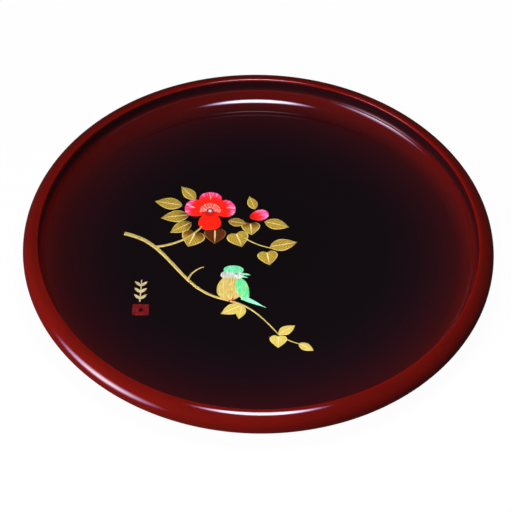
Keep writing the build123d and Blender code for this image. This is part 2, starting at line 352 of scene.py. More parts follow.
def make_gold_branch():
    """Pale gold powder over raised wood strokes: bright edges, a browner back and scored bark lines."""
    material, s = new_material("Branch gold")
    spot = s.spot()
    flow = s.uv()
    along, across = s.parts(flow)[:2]
    score = s.noise(s.place(flow, scale=(7, 3.0, 1)), 1.0, 3.0)
    lines = s.span(score, 0.50, 0.62)
    back = s.math("MULTIPLY", s.span(s.math("ABSOLUTE", s.math("SUBTRACT", across, 0.15)), 0.62, 0.2), 0.75)
    shade = s.math("MULTIPLY", back, s.span(score, 0.35, 0.55, 0.35, 1.0))
    powder = use_group(
        s, "Dusted metal powder", Vector=spot,
        Powder=s.mix(s.math("MAXIMUM", s.math("MULTIPLY", lines, 0.6), shade),
                     (0.80, 0.69, 0.21, 1), (0.40, 0.27, 0.03, 1)),
        Ground=(0.30, 0.18, 0.02, 1), Cover=0.92, Grain=5200.0)
    height = s.math("SUBTRACT", powder[3], lines)
    s.surface(powder[0], powder[2], height, 0.00008, Metallic=powder[1], Specular_IOR_Level=0.15)
    return material


def make_gold_leaf(name, powder, stroke, stalk=None, reach=(0.0, 0.5), edge=GOLD_EDGE):
    """Gold powder with scratched side veins, a pale midrib and a pale margin; stalk tints the base end."""
    material, s = new_material(name)
    spot = s.spot()
    flow = s.uv()
    veins, rib, margin = use_group(s, "Leaf veins", Vector=flow, Count=8.0, Slant=2.6, Rib=0.07)[:3]
    along = s.parts(flow)[0]
    colour = (*powder, 1)
    if stalk:
        blotch = s.math("MULTIPLY", s.math("SUBTRACT", s.noise(spot, 260.0, 4.0), 0.5), 0.5)
        fade = s.span(s.math("ADD", along, blotch), reach[1], reach[0])
        colour = s.mix(fade, colour, (*stalk, 1))
    colour = s.mix(s.math("MULTIPLY", veins, 0.75), colour, (*stroke, 1))
    colour = s.mix(s.math("MULTIPLY", margin, 0.85), colour, (*edge, 1))
    colour = s.mix(s.math("MULTIPLY", rib, 0.95), colour, GOLD_RIB)
    dust = use_group(
        s, "Dusted metal powder", Vector=spot, Powder=colour, Ground=(*stroke, 1), Cover=0.92, Grain=5200.0)
    height = s.math("SUBTRACT", s.math("ADD", dust[3], rib), veins)
    s.surface(dust[0], dust[2], height, 0.00007, Metallic=dust[1], Specular_IOR_Level=0.12)
    return material


def make_petal(name, tip_start, tip_end, pink, white):
    """Vermilion lacquer with pink, white-streaked tips; the streaks run from the heart to the rim."""
    material, s = new_material(name)
    spot = s.spot()
    flow = s.uv()
    along = s.parts(flow)[0]
    streak = s.noise(s.place(flow, scale=(1.4, 46, 1)), 1.0, 3.0)
    cloud = s.math("MULTIPLY", s.math("SUBTRACT", streak, 0.5), 0.9)
    tip = s.span(s.math("ADD", along, cloud), tip_start, tip_end)
    colour = s.mix(s.math("MULTIPLY", tip, pink), (0.92, 0.014, 0.003, 1), (0.86, 0.06, 0.30, 1))
    pale = s.math("MULTIPLY", s.span(streak, 0.51, 0.60), s.span(along, tip_start, tip_end))
    colour = s.mix(s.math("MULTIPLY", pale, white), colour, (0.96, 0.56, 0.68, 1))
    deep = s.math("MULTIPLY", s.span(streak, 0.42, 0.30), 0.4)
    colour = s.mix(deep, colour, (0.60, 0.005, 0.006, 1))
    colour = s.mix(s.span(along, 0.34, 0.22, 0.0, 0.65), colour, (0.42, 0.004, 0.005, 1))
    rim = s.parts(s.add("ShaderNodeUVMap", uv_map="Rim").outputs[0])[1]
    colour = s.mix(s.span(rim, 0.95, 1.0, 0.0, 0.8), colour, (0.16, 0.004, 0.006, 1))
    polish = use_group(s, "Hand polish", Vector=spot, Gloss=0.34, Haze=0.12, Ripple=0.4)
    height = s.math("ADD", polish[1], s.math("MULTIPLY", streak, 0.6))
    shader = s.surface(colour, polish[0], height, 0.00006)
    shader.inputs["Specular IOR Level"].default_value = 0.2
    return material


def make_feather(name, main, light, dark, stretch=(1, 6, 1), gold=0.0, slope=0.0):
    """Brushed feather colour: fine strokes along the bird, light barbs, dark gaps and a touch of gold."""
    material, s = new_material(name)
    spot = s.place(s.spot(), turn=(0, 0, slope))
    stroke = s.noise(s.place(spot, scale=(stretch[1], stretch[0], 1)), 260.0, 4.0)
    broad = s.noise(s.place(spot, scale=(stretch[1] * 0.6, stretch[0], 1)), 90.0, 2.0)
    colour = s.mix(s.span(stroke, 0.5, 0.66), (*main, 1), (*light, 1))
    colour = s.mix(s.math("MULTIPLY", s.span(stroke, 0.47, 0.34), 0.6), colour, (*dark, 1))
    bloom = s.math("MULTIPLY", s.span(broad, 0.52, 0.68), gold)
    colour = s.mix(bloom, colour, (0.80, 0.62, 0.24, 1))
    s.surface(colour, s.span(stroke, 0.3, 0.7, 0.32, 0.5), stroke, 0.00006)
    return material


def make_plain_lacquer(name, main, other, scale=420.0, gloss=0.3):
    material, s = new_material(name)
    spot = s.spot()
    blot = s.span(s.noise(spot, scale, 4.0), 0.4, 0.65)
    colour = s.mix(blot, (*main, 1), (*other, 1))
    s.surface(colour, s.span(blot, 0, 1, gloss, gloss + 0.12), blot, 0.00004)
    return material


def make_materials():
    build_polish_group()
    build_powder_group()
    build_vein_group()
    gold = (0.58, 0.43, 0.045)
    bright = (0.76, 0.65, 0.135)
    stroke = (0.16, 0.075, 0.004)
    brown = (0.135, 0.030, 0.003)
    return {
        "inner": make_inner_lacquer(),
        "rim": make_rim_lacquer(),
        "base": make_black_lacquer("Base lacquer", 0.16),
        "foot": make_black_lacquer("Foot lacquer", 0.2),
        "core": make_wood("Core wood", (0.52, 0.34, 0.19), (0.36, 0.21, 0.10)),
        "tongue": make_wood("Tongue wood", (0.36, 0.21, 0.10), (0.22, 0.12, 0.05)),
        "branch": make_gold_branch(),
        "leaf": make_gold_leaf("Leaf gold", gold, stroke),
        "leaf_bright": make_gold_leaf("Bright leaf", bright, gold),
        "leaf_shaded": make_gold_leaf("Shaded leaf", gold, stroke, brown, (0.0, 0.55)),
        "leaf_brown": make_gold_leaf("Brown leaf", brown, (0.05, 0.010, 0.002), edge=(0.34, 0.15, 0.02)),
        "leaf_dark": make_gold_leaf("Dark leaf", (0.16, 0.055, 0.006), gold),
        "petal": make_petal("Petal lacquer", 0.68, 0.92, 0.9, 0.75),
        "petal_low": make_petal("Lower petal lacquer", 0.95, 1.3, 0.3, 0.3),
        "bud": make_petal("Bud lacquer", 0.40, 0.80, 0.95, 1.0),
        "stamen": make_plain_lacquer("Stamen cream", (0.88, 0.70, 0.52), (0.95, 0.86, 0.74)),
        "pistil": make_plain_lacquer("Pistil blue", (0.08, 0.72, 0.88), (0.45, 0.93, 0.97), 900.0),
        "cap": make_feather("Cap feathers", (0.12, 0.70, 0.30), (0.34, 0.90, 0.50), (0.07, 0.55, 0.20),
                            gold=0.15),
        "wing": make_feather("Wing feathers", (0.10, 0.76, 0.24), (0.28, 0.88, 0.42), (0.05, 0.46, 0.14),
                             gold=0.25, slope=radians(18)),
        "tail": make_feather("Tail feathers", (0.22, 0.84, 0.42), (0.44, 0.92, 0.60), (0.10, 0.60, 0.25),
                             slope=radians(90)),
        "face": make_feather("Face feathers", (0.46, 0.52, 0.42), (0.80, 0.84, 0.78), (0.22, 0.27, 0.22),
                             gold=0.2),
        "breast": make_feather("Breast feathers", (0.58, 0.45, 0.085), (0.74, 0.64, 0.27), (0.42, 0.28, 0.03),
                               stretch=(1, 7, 1)),
        "eye": make_plain_lacquer("Eye lacquer", (0.10, 0.16, 0.13), (0.32, 0.40, 0.34), 700.0),
        "legs": make_plain_lacquer("Leg lacquer", (0.46, 0.004, 0.004), (0.66, 0.006, 0.006), 600.0),
        "mark_gold": make_plain_lacquer("Mark gold", (0.52, 0.44, 0.19), (0.68, 0.60, 0.32), 800.0),
        "mark_red": make_plain_lacquer("Mark red", (0.09, 0.002, 0.003), (0.24, 0.004, 0.004), 900.0),
    }


FINISH = {}


# ---------------------------------------------------------------- mesh helpers

def add_relief(name, mesh, finish, slot, *replaced):
    """Add a piece of the picture, which is drawn round a middle a little above the tray's own."""
    mesh.transform(Matrix.Translation((0, PICTURE_UP, 0)))
    return add_object(name, mesh, finish, slot, *replaced)


def add_object(name, mesh, finish, slot, *replaced):
    """Put a finished mesh in the scene, on the tray's one body, in place of its plain CAD node."""
    piece = bpy.data.objects.new(name, mesh)
    bpy.context.scene.collection.objects.link(piece)
    mesh.materials.clear()
    mesh.materials.append(FINISH[finish])
    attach(piece, "root")
    if replaced:
        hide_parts(*replaced)
    return piece


def finish_mesh(work, name, sharp=radians(35)):
    """Merge doubles, turn faces outwards and write a working mesh out."""
    bmesh.ops.remove_doubles(work, verts=work.verts, dist=2e-7)
    bmesh.ops.dissolve_degenerate(work, dist=1e-8, edges=work.edges)
    bmesh.ops.recalc_face_normals(work, faces=work.faces)
    mesh = bpy.data.meshes.new(name)
    work.to_mesh(mesh)
    work.free()
    mesh.shade_smooth()
    mesh.set_sharp_from_angle(angle=sharp)
    return mesh


def arc_points(centre, radius, start, end, count):
    """Points along part of a circle, as radius and height."""
    steps = [start + (end - start) * i / count for i in range(count + 1)]
    return [(centre[0] + radius * cos(a), centre[1] + radius * sin(a)) for a in steps]


def body_lines(inset, fine):
    """The turned outline in four runs, moved into the wood by inset: wall, lip, belly, sweep under."""
    cove_r = BELLY_R - LIP_ROUND - COVE
    drop = HEIGHT - BELLY - BELLY * sin(BELLY_TURN) - UNDER_Z
    sweep_r = drop / (1 - sin(BELLY_TURN))
    sweep_x = BELLY_R - (sweep_r - BELLY) * cos(BELLY_TURN)
    wall = arc_points((cove_r, FLOOR_Z + COVE), COVE + inset, -pi / 2, 0, 12 * fine)
    lip = arc_points((BELLY_R, HEIGHT - LIP_ROUND), LIP_ROUND - inset, pi, pi / 2, 5 * fine)
    wall += [(lip[0][0], wall[-1][1] + (lip[0][1] - wall[-1][1]) * k / 4) for k in (1, 2, 3)] + [lip[0]]
    belly = arc_points((BELLY_R, HEIGHT - BELLY), BELLY - inset, pi / 2, -BELLY_TURN, 18 * fine)
    sweep = arc_points((sweep_x, UNDER_Z + sweep_r), sweep_r - inset, -BELLY_TURN, -pi / 2, 4 * fine)
    return wall, lip, belly, sweep


def outline_mesh(points, name):
    """A closed outline as a chain of edges, first point repeated at the end, ready for the lathe."""
    places = [(r * MM, 0, z * MM) for r, z in [*points, points[0]]]
    mesh = bpy.data.meshes.new(name)
    mesh.from_pydata(places, [(i, i + 1) for i in range(len(places) - 1)], [])
    return mesh


def build_lathe_tree():
    """Geometry Nodes that turn an outline of radius and height right round the upright axis."""
    tree = bpy.data.node_groups.new("Turn on the lathe", "GeometryNodeTree")
    tree.interface.new_socket("Outline", in_out="INPUT", socket_type="NodeSocketGeometry")
    tree.interface.new_socket("Turns", in_out="INPUT", socket_type="NodeSocketInt")
    tree.interface.new_socket("Finish", in_out="INPUT", socket_type="NodeSocketMaterial")
    tree.interface.new_socket("Ring", in_out="OUTPUT", socket_type="NodeSocketGeometry")
    s = Shading(tree)
    source = s.add("NodeGroupInput").outputs
    sink = s.add("NodeGroupOutput").inputs
    size = s.add("GeometryNodeAttributeDomainSize", in_0=source[0])
    count = size.outputs["Point Count"]
    grid = s.add("GeometryNodeMeshGrid")
    s.feed(grid.inputs["Vertices X"], s.math("ADD", source[1], 1.0))
    s.feed(grid.inputs["Vertices Y"], count)
    flat = s.parts(s.add("GeometryNodeInputPosition").outputs[0])
    angle = s.math("MULTIPLY", s.math("ADD", flat[0], 0.5), 2 * pi)
    last = s.math("SUBTRACT", count, 1.0)
    step = s.math("ROUND", s.math("MULTIPLY", s.math("ADD", flat[1], 0.5), last))
    sample = s.add("GeometryNodeSampleIndex", data_type="FLOAT_VECTOR", domain="POINT")
    s.feed(sample.inputs["Geometry"], source[0])
    s.feed(sample.inputs["Value"], s.add("GeometryNodeInputPosition").outputs[0])
    s.feed(sample.inputs["Index"], step)
    spot = s.parts(sample.outputs[0])
    place = s.add("ShaderNodeCombineXYZ", in_0=s.math("MULTIPLY", spot[0], s.math("COSINE", angle)))
    s.feed(place.inputs[1], s.math("MULTIPLY", spot[0], s.math("SINE", angle)))
    s.feed(place.inputs[2], spot[2])
    ring = s.add("GeometryNodeSetPosition", in_0=grid.outputs["Mesh"])
    s.feed(ring.inputs["Position"], place.outputs[0])
    joined = s.add("GeometryNodeMergeByDistance", in_0=ring.outputs[0])
    joined.inputs["Distance"].default_value = 1e-6
    real = s.add("GeometryNodeRealizeInstances", in_0=joined.outputs[0])
    painted = s.add("GeometryNodeSetMaterial", in_0=real.outputs[0])
    s.feed(painted.inputs["Material"], source[2])
    s.feed(sink[0], painted.outputs[0])
    return tree


def run_tree(tree, mesh, **values):
    """Evaluate a Geometry Nodes tree on a mesh and return the plain mesh it makes."""
    carrier = bpy.data.objects.new("carrier", mesh)
    bpy.context.scene.collection.objects.link(carrier)
    modifier = carrier.modifiers.new("Rule", "NODES")
    modifier.node_group = tree
    for item in tree.interface.items_tree:
        if item.in_out == "INPUT" and item.name in values:
            modifier[item.identifier] = values[item.name]
    evaluated = carrier.evaluated_get(bpy.context.evaluated_depsgraph_get())
    made = bpy.data.meshes.new_from_object(evaluated)
    carrier.modifiers.clear()
    bpy.data.objects.remove(carrier)
    return made


def turned(name, points, finish, slot, turns, *replaced):
    tree = bpy.data.node_groups.get("Turn on the lathe") or build_lathe_tree()
    made = run_tree(tree, outline_mesh(points, name), Turns=turns, Finish=FINISH[finish])
    work = bmesh.new()
    work.from_mesh(made)
    mesh = finish_mesh(work, name)
    return add_object(name, mesh, finish, slot, *replaced)


# ---------------------------------------------------------------- raised work

def along(start, tip):
    """A placing function: part of the way from start to tip, and distance to the left of that line."""
    length = hypot(tip[0] - start[0], tip[1] - start[1])
    ux = (tip[0] - start[0]) / length
    uy = (tip[1] - start[1]) / length

    def place(part_way, left):
        step = part_way * length
        return (start[0] + step * ux - left * uy, start[1] + step * uy + left * ux)

    return place


def smooth_run(points, steps, closed=False):
    """A soft curve through points of any length of tuple, with a few steps between each two."""
    count = len(points)
    spans = count if closed else count - 1
    result = []
    for i in range(spans):
        if closed:
            four = [points[(i + k) % count] for k in (-1, 0, 1, 2)]
        else:
            four = [points[min(max(i + k, 0), count - 1)] for k in (-1, 0, 1, 2)]
        for j in range(steps):
            t = j / steps
            weights = (
                -0.5 * t + t * t - 0.5 * t ** 3,
                1 - 2.5 * t * t + 1.5 * t ** 3,
                0.5 * t + 2 * t * t - 1.5 * t ** 3,
                -0.5 * t * t + 0.5 * t ** 3,
            )
            result.append(tuple(sum(w * p[a] for w, p in zip(weights, four)) for a in range(len(four[0]))))
    if not closed:
        result.append(points[-1])
    return result


POINTED_HALF = [(0, 0), (0.1, 0.5), (0.28, 0.9), (0.48, 1), (0.72, 0.68), (0.9, 0.24), (1, 0)]
HEART_HALF = [(0.02, 0), (-0.08, 0.36), (-0.02, 0.75), (0.2, 1), (0.48, 0.86), (0.78, 0.42), (1, 0)]


def leaf_rim(leaf, half, steps=5):
    """The closed rim of a leaf, with a matching point on its midrib and its flow for every rim point."""
    place = along(leaf[:2], leaf[2:4])
    left = smooth_run([(t, leaf[4] * w) for t, w in half], steps)
    right = smooth_run([(t, -leaf[5] * w) for t, w in half], steps)
    local = left + right[-2:0:-1]
    rim = [place(t, w) for t, w in local]
    bow = 0.10 * (leaf[4] - leaf[5])
    rib = []
    flow = []
    for t, w in local:
        there = min(max(t, 0.05), 0.97)
        rib.append(place(there, bow * sin(pi * there)))
        side = 0 if w == 0 else w / abs(w)
        flow.append((t, side))
    return rim, rib, flow


def dome(share, crown):
    """Height share of a raised piece: steep at its edge, gently crowned to the middle."""
    return (1 - crown) * min(1, share * 6) + crown * sin(share * pi / 2)


def add_island(work, flow_layer, rim, inner, flow, low, top, crown=0.45, rings=6, dip=0.0):
    """One raised island: a wall from the floor, then rings that close in on the inner points."""
    count = len(rim)
    shares = [0.0, *[((k + 1) / rings) ** 1.5 for k in range(rings)]]
    base = [work.verts.new((x * MM, y * MM, low * MM)) for x, y in rim]
    loops = [base]
    marks = [[(u, v, 1.0) for u, v in flow]]
    for k, share in enumerate(shares):
        height = low + (top - low) * (0.45 + 0.55 * dome(share, crown))
        height -= dip * max(0, share - 0.8) * 5 * (top - low)
        ring = []
        for (x, y), (ix, iy) in zip(rim, inner):
            px = x + (ix - x) * share
            py = y + (iy - y) * share
            ring.append(work.verts.new((px * MM, py * MM, height * MM)))
        loops.append(ring)
        marks.append([(u, v, 1 - share) for u, v in flow])
    faces = []
    for k in range(len(loops) - 1):
        for i in range(count):
            j = (i + 1) % count
            corners = (loops[k][i], loops[k][j], loops[k + 1][j], loops[k + 1][i])
            tags = (marks[k][i], marks[k][j], marks[k + 1][j], marks[k + 1][i])
            face = work.faces.new(corners)
            faces.append(face)
            side = 0
            for u, v, w in tags:
                side = v if v else side
            for loop, (u, v, w) in zip(face.loops, tags):
                loop[flow_layer].uv = (u, side * w)
    work.faces.new(list(reversed(base)))
    return faces


def raised_leaves(name, leaves, finish, slot, lift=0.0, *replaced):
    """Leaves of one spray as one piece; each leaf is a list of six sizes and a half outline."""
    work = bmesh.new()
    layer = work.loops.layers.uv.new("Flow")
    for leaf, half in leaves:
        rim, rib, flow = leaf_rim(leaf, half)
        add_island(work, layer, rim, rib, flow, FLOOR_Z, FLOOR_Z + 0.38 + lift, dip=0.16)
    return add_relief(name, finish_mesh(work, name), finish, slot, *replaced)


def raised_patch(name, points, middle, reach, finish, slot, lift=0.0, *replaced):
    """A rounded patch such as a petal or a wing; flow runs out from middle, its length in reach."""
    rim = smooth_run(points, 5, closed=True)
    mx = sum(x for x, _ in rim) / len(rim)
    my = sum(y for _, y in rim) / len(rim)
    inner = [(mx + (x - mx) * 0.12, my + (y - my) * 0.12) for x, y in rim]
    work = bmesh.new()
    work.loops.layers.uv.new("Flow")
    work.loops.layers.uv.new("Rim")
    layer, edge_layer = (work.loops.layers.uv[key] for key in ("Flow", "Rim"))
    add_island(work, edge_layer, rim, inner, [(0, 1)] * len(rim), FLOOR_Z, FLOOR_Z + 0.42 + lift, rings=7)
    crown = max(v.co.z for v in work.verts)
    last = [v for v in work.verts if abs(v.co.z - crown) < 1e-9]
    cap = work.faces.new(last)
    for face in work.faces:
        for loop in face.loops:
            x = loop.vert.co.x / MM - middle[0]
            y = loop.vert.co.y / MM - middle[1]
            loop[layer].uv = (hypot(x, y) / reach, atan2(y, x) / pi)
    bmesh.ops.triangulate(work, faces=[cap])
    return add_relief(name, finish_mesh(work, name), finish, slot, *replaced)


def add_stroke(work, flow_layer, spots, low, thick, steps=4, sides=8, start_flow=0.0):
    """A raised tapering stroke with a rounded back, closed at both ends."""
    run = smooth_run(spots, steps)
    travelled = start_flow
    rows = []
    for i, (x, y, wide) in enumerate(run):
        before = run[max(i - 1, 0)]
        after = run[min(i + 1, len(run) - 1)]
        dx, dy = after[0] - before[0], after[1] - before[1]
        length = hypot(dx, dy) or 1
        nx, ny = -dy / length, dx / length
        if i:
            travelled += hypot(x - before[0], y - before[1])
        row = []
        for k in range(sides + 1):
            a = pi * k / sides
            reach = wide / 2 * cos(a)
            height = low + thick * min(1, wide) * (sin(a) ** 0.7)
            vert = work.verts.new(((x + nx * reach) * MM, (y + ny * reach) * MM, height * MM))
            row.append((vert, (travelled / 10, cos(a))))
        rows.append(row)
    for row, following in zip(rows, rows[1:]):
        for k in range(sides):
            tags = (row[k], row[k + 1], following[k + 1], following[k])
            face = work.faces.new([t[0] for t in tags])
            for loop, tag in zip(face.loops, tags):
                loop[flow_layer].uv = tag[1]
        work.faces.new((row[0][0], following[0][0], following[-1][0], row[-1][0]))
    for row in (rows[0], list(reversed(rows[-1]))):
        work.faces.new([tag[0] for tag in row])


def raised_strokes(name, strokes, finish, slot, thick=0.4, low=None, *replaced):
    work = bmesh.new()
    layer = work.loops.layers.uv.new("Flow")
    for i, spots in enumerate(strokes):
        add_stroke(work, layer, spots, FLOOR_Z if low is None else low, thick, start_flow=7.0 * i)
    return add_relief(name, finish_mesh(work, name), finish, slot, *replaced)


def raised_dome(work, layer, x, y, radius, low, thick, sides=14, rings=4):
    """A small round bead."""
    loops = []
    for k in range(rings + 1):
        a = pi / 2 * k / rings
        reach = radius * cos(a)
        height = low + thick * sin(a)
        if k == rings:
            loops.append([work.verts.new((x * MM, y * MM, height * MM))])
            break
        ring = []
        for i in range(sides):
            turn = 2 * pi * i / sides
            spot = (x + reach * cos(turn), y + reach * sin(turn), height)
            ring.append(work.verts.new([size * MM for size in spot]))
        loops.append(ring)
    for k in range(rings - 1):
        for i in range(sides):
            j = (i + 1) % sides
            work.faces.new((loops[k][i], loops[k][j], loops[k + 1][j], loops[k + 1][i]))
    for i in range(sides):
        work.faces.new((loops[-2][i], loops[-2][(i + 1) % sides], loops[-1][0]))
    work.faces.new(list(reversed(loops[0])))


# ---------------------------------------------------------------- the picture's pieces

# The picture's own rule: where the branch runs, the flower's heart and the size of its petals
BRANCH_START = (-95, 12)
BRANCH_REACH = 110
BRANCH_FALL = 90
BRANCH_WAVE = 6
FLOWER_HEART = (-35, 35)
BUD_MIDDLE = (0, 32)
PETAL_LONG = 9
PETAL_WIDE = 8
SLIM = 0.27
BROAD = 0.6

def branch_point(part):
    """A spot part of the way along the main branch, which falls evenly and waves once and a half."""
    x = BRANCH_START[0] + BRANCH_REACH * part
    y = BRANCH_START[1] - BRANCH_FALL * part + BRANCH_WAVE * sin(3 * pi * part)
    return x, y


def bowed(start, end, bow, thick, thin):
    """A tapering twig between two spots, bowed to its left, as x, y and width."""
    run = []
    for i in range(7):
        t = i / 6
        side = 4 * bow * t * (1 - t) / hypot(end[0] - start[0], end[1] - start[1])
        x = start[0] + (end[0] - start[0]) * t - (end[1] - start[1]) * side
        y = start[1] + (end[1] - start[1]) * t + (end[0] - start[0]) * side
        run.append((x, y, thick + (thin - thick) * t))
    return run


def grown(spot, turn, length, plump):
    """A leaf from its foot, direction in degrees, length, and half width as a share of the length."""
    tip_x = spot[0] + length * cos(radians(turn))
    tip_y = spot[1] + length * sin(radians(turn))
    return (*spot, tip_x, tip_y, length * plump, length * plump)


def egg(spot, long, wide, turn, taper=0.0):
    """Points round an egg: middle, two half sizes, direction in degrees, and how much its far end narrows."""
    points = []
    for i in range(12):
        a = 2 * pi * i / 12
        u = long * cos(a)
        v = wide * sin(a) * (1 - taper * cos(a))
        c, s = cos(radians(turn)), sin(radians(turn))
        points.append((spot[0] + u * c - v * s, spot[1] + u * s + v * c))
    return points


def petal(turn):
    """One petal of the open flower, pointing away from the heart."""
    reach = PETAL_LONG + 0.5
    middle = (FLOWER_HEART[0] + reach * cos(radians(turn)), FLOWER_HEART[1] + reach * sin(radians(turn)))
    return egg(middle, PETAL_LONG, PETAL_WIDE, turn, -0.25)


def by_perch(x, y):
    """A spot of the bird, measured from where it stands on the branch."""
    return PERCH[0] + x, PERCH[1] + y


PERCH = branch_point(0.7)

# Leaves with one point: finish, slot, and each leaf by foot, direction, length and plumpness
POINTED = {
    "leaf_above_flower": ("leaf", "leaf_gold", [
        grown((-46, 46), 130, 16, SLIM),
    ]),
    "leaf_far_left": ("leaf", "leaf_gold", [
        grown((-55, 40), 170, 20, SLIM),
    ]),
    "leaf_shaded_left": ("leaf_shaded", "leaf_shaded", [
        grown((-50, 31), 190, 20, SLIM),
    ]),
    "leaf_low_left": ("leaf_shaded", "leaf_shaded", [
        grown((-48, 24), 215, 18, SLIM),
    ]),
    "leaf_dark_right": ("leaf_dark", "leaf_brown", [
        grown((-22, 26), 350, 14, SLIM),
    ]),
    "leaf_above_bud": ("leaf", "leaf_gold", [
        grown((-3, 38), 110, 13, SLIM),
    ]),
    "leaf_beside_bud": ("leaf", "leaf_gold", [
        grown((4, 26), 345, 18, SLIM),
    ]),
    "leaf_pointed_right": ("leaf", "leaf_gold", [
        grown((8, 2), 15, 20, SLIM),
    ]),
    "leaves_by_bird": ("leaf_bright", "leaf_gold", [
        grown(branch_point(0.77), 210, 17, SLIM),
        grown(branch_point(0.77), 260, 13, SLIM),
    ]),
    "leaves_branch_end": ("leaf_bright", "leaf_gold", [
        grown(branch_point(1), 35, 14, SLIM),
        grown((29, -86), 330, 12, SLIM),
    ]),
}

# Heart leaves, each from its notch
HEARTS = {
    "leaf_heart_right": ("leaf_shaded", "leaf_shaded", grown((-6, 24), 275, 11, BROAD)),
    "leaf_brown": ("leaf_brown", "leaf_brown", grown((-31, 17), 270, 13, BROAD)),
    "leaf_below_flower": ("leaf_shaded", "leaf_shaded", grown((-45, 14), 250, 14, BROAD)),
    "leaf_heart_middle": ("leaf", "leaf_shaded", grown((-16, 14), 290, 13, BROAD)),
    "leaf_heart_low": ("leaf", "leaf_gold", grown((6, -3), 280, 12, BROAD)),
    "leaf_heart_end": ("leaf_bright", "leaf_gold", grown((15, -80), 270, 10, BROAD)),
}

# Wood strokes: x, y, width along the stroke
BRANCHES = {
    "branch_main": [[(*branch_point(i / 16), 3.2 - 2.4 * i / 16) for i in range(17)]],
    "twig_upper": [bowed(branch_point(0.2), (-38, 24), -5, 2, 1)],
    "twig_low": [bowed(branch_point(0.42), (-38, -18), 2, 1.6, 0.8)],
    "twig_side": [bowed((-14, 14), (9, 1), -2, 0.9, 0.7)],
    "twig_end": [bowed(branch_point(1), (29, -86), -1, 0.8, 0.6)],
}

# Rounded patches: finish, slot, how far in front, length of the flow, and a closed run of points
PATCHES = {
    "petal_left": ("petal", "petal_red", 0.0, 19, petal(165)),
    "petal_top": ("petal", "petal_red", 0.06, 19, petal(90)),
    "petal_right": ("petal", "petal_red", 0.12, 19, petal(15)),
    "petal_lower": ("petal_low", "petal_red", 0.18, 19, petal(270)),
    "bud_petals": ("bud", "petal_pink", 0.12, 14, egg(BUD_MIDDLE, 7, 5, 20, -0.2)),
    "bird_cap": ("cap", "bird_green", 0.16, 10, egg(by_perch(1, 29), 7, 4, 0)),
    "bird_face": ("face", "bird_white", 0.10, 10, egg(by_perch(0, 24), 8, 5, 0)),
    "bird_breast": ("breast", "bird_gold", 0.10, 20, egg(by_perch(-1, 13), 12, 9, 80, 0.15)),
    "bird_wing": ("wing", "bird_green", 0.14, 25, egg(by_perch(7, 11), 11, 5, 290, 0.3)),
}

PETAL_TURNS = (165, 90, 15)
LEGS = [(*by_perch(1, 3), 0.9), (*by_perch(0, 0), 0.9)]
TOES = [(*by_perch(-1.4, 0), 1.1), (*by_perch(1.4, 0), 1.1)]
TAIL = (*by_perch(9, 3), *by_perch(24, -5), 4)
BEAK = [(*by_perch(7, 25.5), *by_perch(13, 24.5), 1.8), (*by_perch(7, 23), *by_perch(11, 22), 1.5)]
EYE = (*by_perch(3, 25), 1.0, 1.0)


